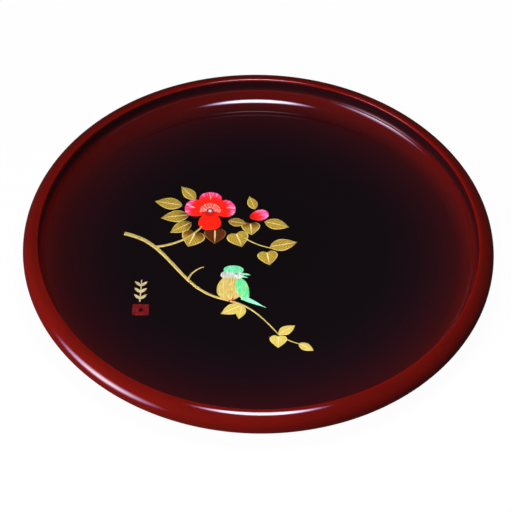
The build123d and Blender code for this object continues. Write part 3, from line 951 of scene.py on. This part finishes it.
def build_stamen_tree():
    """Geometry Nodes that stand a fan of filaments with anthers on the flower's heart."""
    tree = bpy.data.node_groups.new("Fan of stamens", "GeometryNodeTree")
    tree.interface.new_socket("Heart", in_out="INPUT", socket_type="NodeSocketGeometry")
    wanted = [("Stamens", "NodeSocketInt"), ("Start", "NodeSocketFloat"), ("Sweep", "NodeSocketFloat")]
    wanted += [("Reach", "NodeSocketFloat"), ("Thick", "NodeSocketFloat"), ("Anther", "NodeSocketFloat")]
    wanted += [("Seed", "NodeSocketInt"), ("Finish", "NodeSocketMaterial")]
    for label, kind in wanted:
        tree.interface.new_socket(label, in_out="INPUT", socket_type=kind)
    tree.interface.new_socket("Fan", in_out="OUTPUT", socket_type="NodeSocketGeometry")
    s = Shading(tree)
    source = s.add("NodeGroupInput").outputs
    sink = s.add("NodeGroupOutput").inputs
    points = s.add("GeometryNodeMeshLine", in_0=source["Stamens"])
    points.inputs["Offset"].default_value = (0, 0, 0)
    index = s.add("GeometryNodeInputIndex").outputs[0]
    part_way = s.math("DIVIDE", index, s.math("SUBTRACT", source["Stamens"], 1.0))
    jitter = s.add("FunctionNodeRandomValue", data_type="FLOAT")
    jitter.inputs[2].default_value = -1.0
    jitter.inputs[3].default_value = 1.0
    s.feed(jitter.inputs["ID"], index)
    s.feed(jitter.inputs["Seed"], source["Seed"])
    loose = jitter.outputs[1]
    angle = s.math("ADD", source["Start"], s.math("MULTIPLY", source["Sweep"], part_way))
    angle = s.math("ADD", angle, s.math("MULTIPLY", loose, 0.05))
    length = s.math("MULTIPLY", source["Reach"], s.math("ADD", 1.0, s.math("MULTIPLY", loose, 0.07)))
    turn = s.add("ShaderNodeCombineXYZ", in_2=angle)
    stretch = s.add("ShaderNodeCombineXYZ", in_0=length, in_1=source["Thick"], in_2=source["Thick"])
    rod = s.add("GeometryNodeMeshCylinder", in_0=8, in_1=4)
    rod.inputs["Radius"].default_value = 0.5
    rod.inputs["Depth"].default_value = 0.62
    laid = s.add("GeometryNodeTransform", in_0=rod.outputs["Mesh"])
    laid.inputs["Translation"].default_value = (0.69, 0, 0)
    laid.inputs["Rotation"].default_value = (0, pi / 2, 0)
    rods = s.add("GeometryNodeInstanceOnPoints", in_0=points.outputs[0])
    s.feed(rods.inputs["Instance"], laid.outputs[0])
    s.feed(rods.inputs["Rotation"], turn.outputs[0])
    s.feed(rods.inputs["Scale"], stretch.outputs[0])
    tip = s.add("ShaderNodeCombineXYZ", in_0=s.math("MULTIPLY", length, s.math("COSINE", angle)))
    s.feed(tip.inputs[1], s.math("MULTIPLY", length, s.math("SINE", angle)))
    tips = s.add("GeometryNodeSetPosition", in_0=points.outputs[0])
    s.feed(tips.inputs["Position"], tip.outputs[0])
    bead = s.add("GeometryNodeMeshUVSphere", in_0=10, in_1=7)
    bead.inputs["Radius"].default_value = 1.0
    heads = s.add("GeometryNodeInstanceOnPoints", in_0=tips.outputs[0])
    s.feed(heads.inputs["Instance"], bead.outputs["Mesh"])
    s.feed(heads.inputs["Rotation"], turn.outputs[0])
    wide = s.add("ShaderNodeCombineXYZ", in_0=s.math("MULTIPLY", source["Anther"], 1.35))
    s.feed(wide.inputs[1], source["Anther"])
    s.feed(wide.inputs[2], s.math("MULTIPLY", source["Anther"], 0.7))
    s.feed(heads.inputs["Scale"], wide.outputs[0])
    both = s.add("GeometryNodeJoinGeometry")
    s.feed(both.inputs[0], rods.outputs[0])
    s.feed(both.inputs[0], heads.outputs[0])
    real = s.add("GeometryNodeRealizeInstances", in_0=both.outputs[0])
    painted = s.add("GeometryNodeSetMaterial", in_0=real.outputs[0])
    s.feed(painted.inputs["Material"], source["Finish"])
    s.feed(sink[0], painted.outputs[0])
    return tree


# ---------------------------------------------------------------- settings

CAMERA_SHIFT = (-2.1759 / 512, 4.3369 / 512)


class TrayBody(bpy.types.PropertyGroup):
    """Sizes of the turned body."""

    turns: bpy.props.IntProperty(
        name="Steps round", description="Facets round every turned coat", default=360, min=48, max=720)
    fine: bpy.props.IntProperty(
        name="Steps over", description="Fineness of the outline over the rim", default=2, min=1, max=4)


class TrayPicture(bpy.types.PropertyGroup):
    """Sizes of the raised picture."""

    stamens: bpy.props.IntProperty(
        name="Stamens", description="Filaments in the open flower", default=19, min=3, max=60)
    stamen_reach: bpy.props.FloatProperty(
        name="Stamen length", description="Length of a filament",
        default=0.0069, subtype="DISTANCE", unit="LENGTH")
    stamen_thick: bpy.props.FloatProperty(
        name="Stamen thickness", description="Thickness of a filament",
        default=0.00017, subtype="DISTANCE", unit="LENGTH")


class TrayStage(bpy.types.PropertyGroup):
    """Light and camera."""

    top_glow: bpy.props.FloatProperty(
        name="Overhead light", description="Brightness of the overhead lamp's middle", default=28.0, min=0)
    side_glow: bpy.props.FloatProperty(
        name="Side light", description="Brightness of the left lamp's middle", default=17.0, min=0)
    front_glow: bpy.props.FloatProperty(
        name="Front light", description="Strength of the low soft light from the front left",
        default=3.2, min=0)
    fill: bpy.props.FloatProperty(
        name="Room light", description="Even light from the room", default=0.15, min=0)
    gloss: bpy.props.FloatProperty(
        name="Room in the gloss", description="How bright the room shows in the polish", default=0.03, min=0)
    distance: bpy.props.FloatProperty(
        name="Camera distance", description="From the foot's centre to the camera",
        default=2.00788, subtype="DISTANCE", unit="LENGTH")
    elevation: bpy.props.FloatProperty(
        name="Camera elevation", description="Angle of the camera above the table",
        default=radians(48.5631), subtype="ANGLE", unit="ROTATION")
    roll: bpy.props.FloatProperty(
        name="Camera roll", description="Lean of the camera", default=radians(1.2367),
        subtype="ANGLE", unit="ROTATION")


# ---------------------------------------------------------------- operators

class TRAY_OT_turn_body(bpy.types.Operator):
    """Turn the lacquer coats and the foot, and give the wooden core its grain"""

    bl_idname = "tray.turn_body"
    bl_label = "Turn the body"

    def execute(self, context):
        body = context.scene.tray_body
        wall, lip, belly, sweep = body_lines(0, body.fine)
        wall_in, lip_in, belly_in, sweep_in = body_lines(SKIN, body.fine)
        low = FLOOR_Z - SKIN
        inside = [(0, FLOOR_Z), (INNER_STEP, FLOOR_Z), *wall, *reversed(wall_in), (INNER_STEP, low), (0, low)]
        turned("inner_coat", inside, "inner", "floor_red_black", body.turns, "inner_lacquer")
        outer = [*lip, *belly[1:], *sweep[1:], (FOOT_OUT, UNDER_Z)]
        top = UNDER_Z + SKIN
        under = [(FOOT_OUT, top), *reversed(sweep_in), *reversed(belly_in[:-1]), *reversed(lip_in[:-1])]
        turned("rim_coat", outer + under, "rim", "rim_red", body.turns, "rim_lacquer")
        disc = [(0, UNDER_Z), (0, top), (FOOT_IN, top), (FOOT_IN, UNDER_Z), (INNER_STEP, UNDER_Z)]
        turned("base_coat", disc, "base", "base_black", body.turns, "base_lacquer")
        soft = FOOT_ROUND
        foot = [(FOOT_IN, top), *arc_points((FOOT_IN + soft, soft), soft, pi, 1.5 * pi, 6)]
        foot += [*arc_points((FOOT_OUT - soft, soft), soft, -pi / 2, 0, 6), (FOOT_OUT, top)]
        turned("foot_ring", foot, "foot", "foot_wood", body.turns, "foot_hoop")
        for name in ("rim_hoop", "plank_left", "plank_middle", "plank_right"):
            dress_node(name, "core")
        for name in ("tongue_left", "tongue_right"):
            dress_node(name, "tongue")
        return {"FINISHED"}


def dress_node(name, finish):
    mesh = NODES[name].data
    mesh.materials.clear()
    mesh.materials.append(FINISH[finish])


class TRAY_OT_lay_branches(bpy.types.Operator):
    """Lay the raised wood of the branch and its twigs"""

    bl_idname = "tray.lay_branches"
    bl_label = "Lay the branches"

    def execute(self, context):
        for node, strokes in BRANCHES.items():
            raised_strokes(node + "_relief", strokes, "branch", "branch_gold", 0.5, None, node)
        return {"FINISHED"}


class TRAY_OT_lay_leaves(bpy.types.Operator):
    """Lay every leaf of the branch"""

    bl_idname = "tray.lay_leaves"
    bl_label = "Lay the leaves"

    def execute(self, context):
        for node, (finish, slot, leaves) in POINTED.items():
            shaped = [(leaf, POINTED_HALF) for leaf in leaves]
            raised_leaves(node + "_relief", shaped, finish, slot, 0.0, node)
        for node, (finish, slot, leaf) in HEARTS.items():
            raised_leaves(node + "_relief", [(leaf, HEART_HALF)], finish, slot, 0.0, node)
        return {"FINISHED"}


class TRAY_OT_lay_flowers(bpy.types.Operator):
    """Lay the petals, the bud, the stamens and the pistil"""

    bl_idname = "tray.lay_flowers"
    bl_label = "Lay the flowers"

    def execute(self, context):
        picture = context.scene.tray_picture
        for node in ("petal_left", "petal_top", "petal_right", "petal_lower"):
            finish, slot, lift, reach, points = PATCHES[node]
            raised_patch(node + "_relief", points, FLOWER_HEART, reach, finish, slot, lift, node)
        finish, slot, lift, reach, points = PATCHES["bud_petals"]
        foot = (BUD_MIDDLE[0] - 6, BUD_MIDDLE[1] - 3)
        raised_patch("bud_petals_relief", points, foot, reach, finish, slot, lift, "bud_petals")
        tree = build_stamen_tree()
        seed_mesh = bpy.data.meshes.new("heart")
        fan = run_tree(
            tree, seed_mesh, Stamens=picture.stamens, Start=radians(-8), Sweep=radians(196),
            Reach=picture.stamen_reach, Thick=picture.stamen_thick, Anther=0.00030, Seed=5,
            Finish=FINISH["stamen"])
        fan.transform(Matrix.Translation((FLOWER_HEART[0] * MM, FLOWER_HEART[1] * MM, (FLOOR_Z + 0.62) * MM)))
        fan.shade_smooth()
        fan.name = "stamen_fan"
        add_relief("stamen_fan", fan, "stamen", "stamen_cream", "flower_stamens")
        x, y = FLOWER_HEART
        creases = []
        for turn in PETAL_TURNS:
            c, d = cos(radians(turn)), sin(radians(turn))
            creases.append([(x + r * c, y + r * d, wide) for r, wide in ((11, 0.1), (13.5, 0.5), (16, 0.1))])
        raised_strokes("petal_creases", creases, "stamen", "stamen_cream", 0.5, FLOOR_Z + 0.45)
        work = bmesh.new()
        layer = work.loops.layers.uv.new("Flow")
        raised_dome(work, layer, FLOWER_HEART[0], FLOWER_HEART[1], 1.15, FLOOR_Z + 0.5, 0.5)
        add_relief("pistil_bead", finish_mesh(work, "pistil_bead"), "pistil", "pistil_blue", "flower_pistil")
        return {"FINISHED"}


class TRAY_OT_lay_bird(bpy.types.Operator):
    """Lay the bird"""

    bl_idname = "tray.lay_bird"
    bl_label = "Lay the bird"

    def execute(self, context):
        for node in ("bird_cap", "bird_face", "bird_breast", "bird_wing"):
            finish, slot, lift, reach, points = PATCHES[node]
            raised_patch(node + "_relief", points, by_perch(0, 16), reach, finish, slot, lift, node)
        place = along(TAIL[:2], TAIL[2:4])
        strokes = []
        for k in range(5):
            spread = (k - 2) * TAIL[4] / 4.6
            run = ((-0.1, 0.9, 1.0), (0.5, 0.5, 0.9), (1 - 0.1 * abs(k - 2), 0.1, 0.25))
            strokes.append([(*place(part, spread * share), wide) for part, share, wide in run])
        raised_strokes("bird_tail_relief", strokes, "tail", "bird_green", 0.5, None, "bird_tail")
        strokes = [[(bx, by, w), ((bx + tx) / 2, (by + ty) / 2 + 0.15, w * 0.7), (tx, ty, 0.15)]
                   for bx, by, tx, ty, w in BEAK]
        raised_strokes("bird_beak_relief", strokes, "tail", "bird_green", 0.55, None, "bird_beak")
        toes = []
        for x, y, w in TOES:
            half = w * 0.6
            toes.append([(x - half, y - 0.1, w * 0.7), (x, y, w * 1.4), (x + half, y + 0.1, w * 0.7)])
        raised_strokes("bird_legs_relief", [LEGS, *toes], "legs", "bird_red", 0.8, None, "bird_legs")
        work = bmesh.new()
        layer = work.loops.layers.uv.new("Flow")
        raised_dome(work, layer, EYE[0], EYE[1], EYE[2], FLOOR_Z + 0.5, 0.3)
        for vert in work.verts:
            vert.co.y = EYE[1] * MM + (vert.co.y - EYE[1] * MM) * EYE[3] / EYE[2]
        add_relief("bird_eye_relief", finish_mesh(work, "bird_eye_relief"), "eye", "bird_dark", "bird_eye")
        return {"FINISHED"}


class TRAY_OT_add_mark(bpy.types.Operator):
    """Finish the small gold sprig and the red tile beside the branch"""

    bl_idname = "tray.add_mark"
    bl_label = "Add the mark"

    def execute(self, context):
        dress_node("mark_sprig", "mark_gold")
        dress_node("mark_tile", "mark_red")
        return {"FINISHED"}


def soft_light(name, place, aim, peak, wide, high, core):
    """A soft lamp that is brightest in its middle: full glow inside core, none at its rim."""
    data = bpy.data.lights.new(name, "AREA")
    data.shape = "RECTANGLE"
    data.size = wide
    data.size_y = high
    data.energy = peak * pi * wide * high
    data.use_nodes = True
    s = Shading(data.node_tree)
    spot = s.parts(s.add("ShaderNodeNewGeometry").outputs["Parametric"])
    level = s.math("MULTIPLY_ADD", spot[0], 2.0, -1.0)
    upright = s.math("MULTIPLY_ADD", spot[1], 2.0, -1.0)
    away = s.math("SQRT", s.math("MULTIPLY_ADD", level, level, s.math("MULTIPLY", upright, upright)))
    glow = s.span(away, 1.0, core)
    s.feed(data.node_tree.nodes["Emission"].inputs["Strength"], glow)
    s.feed(data.node_tree.nodes["Emission"].inputs["Color"], s.mix(glow, (0.62, 0.42, 1, 1), (1, 0.97, 1, 1)))
    lamp = bpy.data.objects.new(name, data)
    lamp.location = place
    lamp.rotation_euler = (Vector(aim) - Vector(place)).to_track_quat("-Z", "Y").to_euler()
    lamp.visible_camera = False
    bpy.context.scene.collection.objects.link(lamp)
    return lamp


def make_room(stage):
    """An even pale room to look at, which lights the tray softly and hardly shows in its gloss."""
    world = bpy.data.worlds.new("Soft room")
    world.use_nodes = True
    bpy.context.scene.world = world
    s = Shading(world.node_tree)
    s.tree.nodes["Background"].inputs["Color"].default_value = (stage.fill, stage.fill, stage.fill, 1)
    gloss = s.add("ShaderNodeBackground", in_0=(stage.gloss, stage.gloss, stage.gloss, 1))
    seen = s.add("ShaderNodeBackground", in_0=(0.98, 0.98, 0.98, 1))
    path = s.add("ShaderNodeLightPath").outputs
    soft = s.tree.nodes["Background"].outputs[0]
    first = s.add("ShaderNodeMixShader", in_0=path["Is Glossy Ray"], in_1=soft)
    s.feed(first.inputs[2], gloss.outputs[0])
    second = s.add("ShaderNodeMixShader", in_0=path["Is Camera Ray"], in_1=first.outputs[0])
    s.feed(second.inputs[2], seen.outputs[0])
    s.feed(s.tree.nodes["World Output"].inputs[0], second.outputs[0])


class TRAY_OT_set_stage(bpy.types.Operator):
    """Set the pale floor, the soft lights and the camera"""

    bl_idname = "tray.set_stage"
    bl_label = "Set the stage"

    def execute(self, context):
        stage = context.scene.tray_stage
        work = bmesh.new()
        bmesh.ops.create_grid(work, x_segments=8, y_segments=8, size=3.0)
        mesh = bpy.data.meshes.new("floor")
        work.to_mesh(mesh)
        work.free()
        floor = bpy.data.objects.new("floor", mesh)
        context.scene.collection.objects.link(floor)
        material, s = new_material("Pale floor")
        tone = s.mix(s.noise(s.spot(), 3.0), (0.02, 0.02, 0.02, 1), (0.03, 0.03, 0.03, 1))
        shader = s.surface(tone, 0.9)
        shader.inputs["Emission Color"].default_value = (1, 1, 1, 1)
        shader.inputs["Emission Strength"].default_value = 0.97
        shader.inputs["Specular IOR Level"].default_value = 0.0
        mesh.materials.append(material)
        floor.visible_glossy = False
        floor.visible_diffuse = False
        floor.visible_shadow = False
        overhead = (0.01, -0.134, HEIGHT * MM + 0.46)
        soft_light("overhead", overhead, (0.01, -0.1339, 0), stage.top_glow, 0.30, 0.28, 0.35)
        left = Vector((-0.736, -0.425, 0.03))
        soft_light("left", left, (0, 0, 0.03), stage.side_glow, 0.94, 0.66, 0.0)
        front = bpy.data.objects.new("front", bpy.data.lights.new("front", "SUN"))
        front.data.energy = stage.front_glow
        front.data.angle = radians(40)
        front.data.color = (1, 0.97, 0.95)
        front.rotation_euler = Vector((0.62, 0.74, -0.25)).to_track_quat("-Z", "Y").to_euler()
        front.visible_glossy = False
        context.scene.collection.objects.link(front)
        make_room(stage)
        context.scene.view_settings.view_transform = "Standard"
        data = bpy.data.cameras.new("camera")
        data.lens = 200
        data.sensor_width = 36
        data.shift_x = CAMERA_SHIFT[0]
        data.shift_y = CAMERA_SHIFT[1]
        data.clip_end = 20
        camera = bpy.data.objects.new("camera", data)
        up = Vector((0, sin(stage.elevation), cos(stage.elevation)))
        back = Vector((0, -cos(stage.elevation), sin(stage.elevation)))
        right = Vector((1, 0, 0)) * cos(stage.roll) + up * sin(stage.roll)
        true_up = back.cross(right)
        turn = Matrix((right, true_up, back)).transposed().to_4x4()
        middle = Vector((0, 0, HEIGHT * MM - 0.026))
        camera.matrix_world = Matrix.Translation(middle + back * stage.distance) @ turn
        context.scene.collection.objects.link(camera)
        context.scene.camera = camera
        return {"FINISHED"}


class TRAY_PT_panel(bpy.types.Panel):
    """The tray's settings and steps"""

    bl_idname = "TRAY_PT_panel"
    bl_label = "Lacquered tray"
    bl_space_type = "VIEW_3D"
    bl_region_type = "UI"
    bl_category = "Tray"

    def draw(self, context):
        layout = self.layout
        for group in (context.scene.tray_body, context.scene.tray_picture, context.scene.tray_stage):
            box = layout.box()
            for key in group.__annotations__:
                box.prop(group, key)
        for operator in OPERATORS:
            layout.operator(operator.bl_idname)


OPERATORS = [
    TRAY_OT_turn_body, TRAY_OT_lay_branches, TRAY_OT_lay_leaves, TRAY_OT_lay_flowers, TRAY_OT_lay_bird,
    TRAY_OT_add_mark, TRAY_OT_set_stage,
]
CLASSES = [TrayBody, TrayPicture, TrayStage, *OPERATORS, TRAY_PT_panel]


def register():
    for kind in CLASSES:
        bpy.utils.register_class(kind)
    bpy.types.Scene.tray_body = bpy.props.PointerProperty(type=TrayBody)
    bpy.types.Scene.tray_picture = bpy.props.PointerProperty(type=TrayPicture)
    bpy.types.Scene.tray_stage = bpy.props.PointerProperty(type=TrayStage)


def unregister():
    del bpy.types.Scene.tray_stage
    del bpy.types.Scene.tray_picture
    del bpy.types.Scene.tray_body
    for kind in reversed(CLASSES):
        bpy.utils.unregister_class(kind)


def main():
    register()
    FINISH.update(make_materials())
    bpy.ops.tray.turn_body()
    bpy.ops.tray.lay_branches()
    bpy.ops.tray.lay_leaves()
    bpy.ops.tray.lay_flowers()
    bpy.ops.tray.lay_bird()
    bpy.ops.tray.add_mark()
    bpy.ops.tray.set_stage()
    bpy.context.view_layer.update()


if __name__ == "__main__":
    main()
